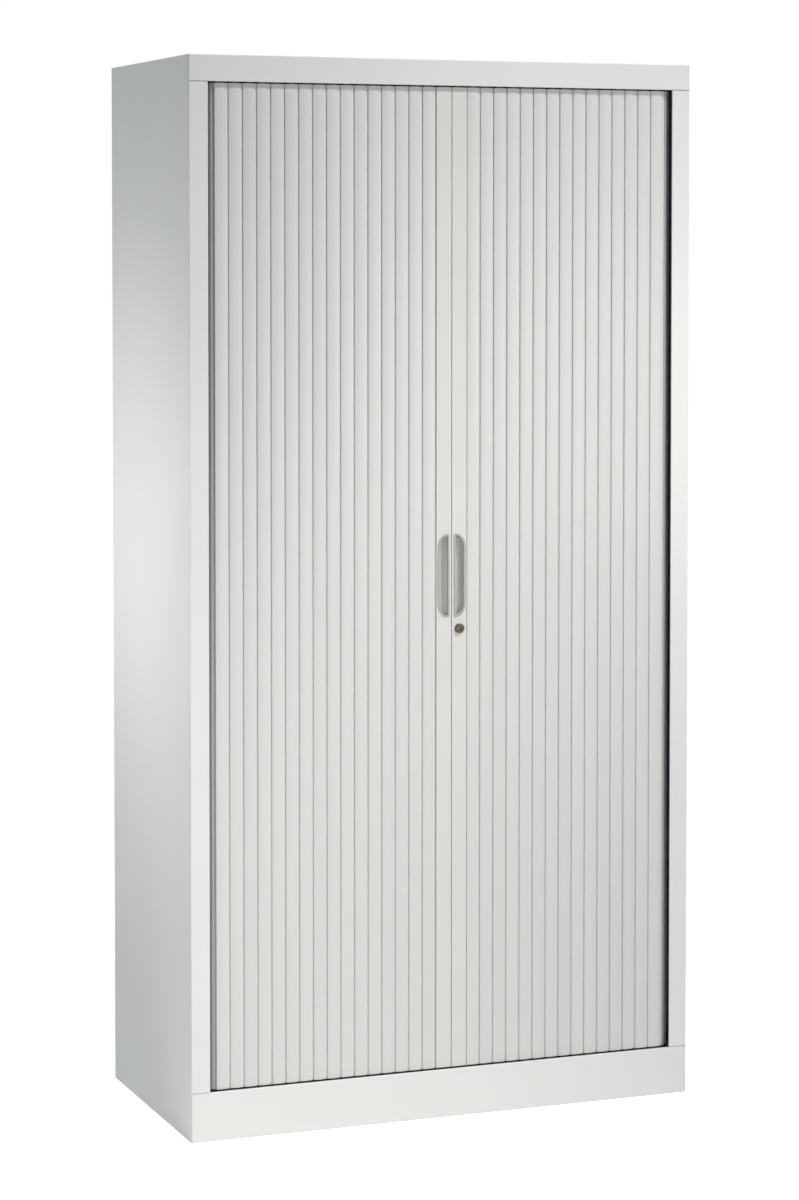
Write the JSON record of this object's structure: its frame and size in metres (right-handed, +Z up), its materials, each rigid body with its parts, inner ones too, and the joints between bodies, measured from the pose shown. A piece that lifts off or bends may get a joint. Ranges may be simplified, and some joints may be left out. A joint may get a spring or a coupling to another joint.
{
  "type": "tambour tool cabinet",
  "caption": "Tall steel tool cabinet with two vertical roll-front shutters, flush finger grips, a cylinder lock and adjustable shelves.",
  "frame": {"origin": "on the floor, in the middle of the footprint", "axes": "+Z up, +X to the right of a person facing the front, +Y from the front to the back"},
  "size_m": [1, 0.5, 1.98],
  "materials": {
    "carcass_paint": "light grey powder coat, satin, very fine texture",
    "shelf_paint": "light grey powder coat, satin",
    "slat_plastic": "light grey extruded plastic, satin",
    "lead_plastic": "light grey extruded plastic, satin",
    "grip_plastic": "mid grey moulded plastic, semi-gloss",
    "track_plastic": "black moulded plastic",
    "lock_nickel": "nickel plate, polished, slightly warm",
    "zinc_plate": "bright zinc plate",
    "rivet_aluminium": "plain",
    "stop_rubber": "black, matt",
    "cap_plastic": "light grey moulded plastic",
    "foot_plastic": "black moulded plastic"
  },
  "bodies": {
    "cabinet": {"left_side_panel": "carcass_paint", "right_side_panel": "carcass_paint", "top_panel": "carcass_paint", "ceiling_panel": "carcass_paint", "base_panel": "carcass_paint", "plinth_front": "carcass_paint", "plinth_rear": "carcass_paint", "back_panel": "carcass_paint", "back_stiffener": "zinc_plate", "back_rivets": "rivet_aluminium", "left_inner_wall": "carcass_paint", "right_inner_wall": "carcass_paint", "shelf_1": "shelf_paint", "shelf_2": "shelf_paint", "shelf_3": "shelf_paint", "shelf_4": "shelf_paint", "shelf_clips": "zinc_plate", "lower_left_track": "track_plastic", "lower_right_track": "track_plastic", "upper_left_track": "track_plastic", "upper_right_track": "track_plastic", "lower_track_rivets": "rivet_aluminium", "upper_track_rivets": "rivet_aluminium", "track_end_stops": "stop_rubber", "left_tail_slats": "slat_plastic", "right_tail_slats": "slat_plastic", "foot_brackets": "zinc_plate", "foot_nuts": "zinc_plate", "foot_access_caps": "cap_plastic"},
    "left_shutter": {"left_shutter_slats": "slat_plastic", "left_lead_strip": "lead_plastic", "left_lead_gliders": "track_plastic", "left_finger_shell": "grip_plastic", "lock_keeper": "zinc_plate"},
    "right_shutter": {"right_shutter_slats": "slat_plastic", "right_lead_strip": "lead_plastic", "right_lead_gliders": "track_plastic", "right_finger_shell": "grip_plastic", "lock_housing": "lock_nickel", "lock_nut": "zinc_plate"},
    "lock_cylinder": {"lock_plug": "lock_nickel", "lock_hook": "zinc_plate", "lock_hook_screw": "zinc_plate"},
    "left_front_foot": {"left_front_foot_stud": "zinc_plate", "left_front_foot_pad": "foot_plastic"},
    "left_rear_foot": {"left_rear_foot_stud": "zinc_plate", "left_rear_foot_pad": "foot_plastic"},
    "right_front_foot": {"right_front_foot_stud": "zinc_plate", "right_front_foot_pad": "foot_plastic"},
    "right_rear_foot": {"right_rear_foot_stud": "zinc_plate", "right_rear_foot_pad": "foot_plastic"}
  },
  "joints": [
    {"name": "left_shutter_slide", "type": "slide", "parent": "cabinet", "child": "left_shutter", "axis": [-1, 0, 0], "range_m": [0, 0.423], "deforming": ["left_shutter_slats"]},
    {"name": "right_shutter_slide", "type": "slide", "parent": "cabinet", "child": "right_shutter", "axis": [1, 0, 0], "range_m": [0, 0.396], "deforming": ["right_shutter_slats"]},
    {"name": "lock_turn", "type": "hinge", "parent": "right_shutter", "child": "lock_cylinder", "pos_m": [0.029, -0.24, 0.92], "axis": [0, 1, 0], "range_deg": [0, 90]},
    {"name": "left_front_foot_adjust", "type": "slide", "parent": "cabinet", "child": "left_front_foot", "axis": [0, 0, -1], "range_m": [0, 0.015]},
    {"name": "left_rear_foot_adjust", "type": "slide", "parent": "cabinet", "child": "left_rear_foot", "axis": [0, 0, -1], "range_m": [0, 0.015]},
    {"name": "right_front_foot_adjust", "type": "slide", "parent": "cabinet", "child": "right_front_foot", "axis": [0, 0, -1], "range_m": [0, 0.015]},
    {"name": "right_rear_foot_adjust", "type": "slide", "parent": "cabinet", "child": "right_rear_foot", "axis": [0, 0, -1], "range_m": [0, 0.015]}
  ]
}
